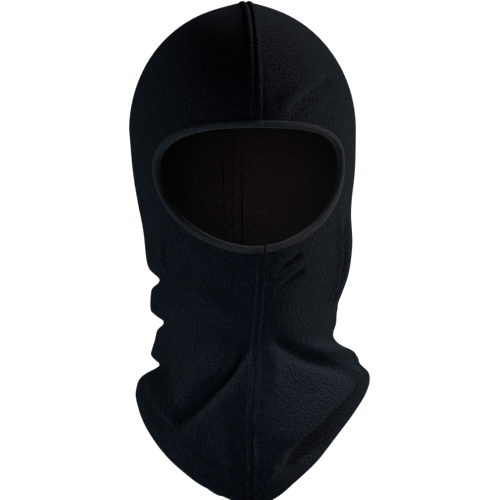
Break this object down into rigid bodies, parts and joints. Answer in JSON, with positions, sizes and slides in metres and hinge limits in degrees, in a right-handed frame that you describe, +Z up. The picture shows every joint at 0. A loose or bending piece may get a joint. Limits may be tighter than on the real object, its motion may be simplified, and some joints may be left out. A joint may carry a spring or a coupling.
{
  "type": "balaclava",
  "caption": "Fleece balaclava: two-panel hood with one bound face opening, a centre seam, and a bib that ends in a V hem front and back.",
  "frame": {"origin": "under the crown, where the top of the wearer's head bears on the inside of the hood", "axes": "+Z up, -Y the way the face opening looks, +X the wearer's left"},
  "size_m": [0.173, 0.2294, 0.3723],
  "materials": {
    "fleece": "napped pile",
    "binding_jersey": "smooth knit",
    "elastic": "braided",
    "thread": "spun polyester",
    "label": "satin"
  },
  "bodies": {
    "hood": {"left_panel": "fleece", "right_panel": "fleece", "face_binding": "binding_jersey", "face_elastic": "elastic", "binding_topstitch": "thread", "binding_bartack": "thread", "crown_topstitch_left": "thread", "crown_topstitch_right": "thread", "crown_seam_thread": "thread", "throat_topstitch_left": "thread", "throat_topstitch_right": "thread", "throat_seam_thread": "thread", "hem_topstitch_low": "thread", "hem_topstitch_high": "thread", "hem_cover_thread": "thread", "care_label_stitch": "thread"},
    "care_label": {"care_label": "label"}
  },
  "joints": [
    {"name": "label_flip", "type": "hinge", "parent": "hood", "child": "care_label", "pos_m": [0, 0.0814, -0.215], "axis": [-1, 0, 0], "range_deg": [0, 150]}
  ]
}
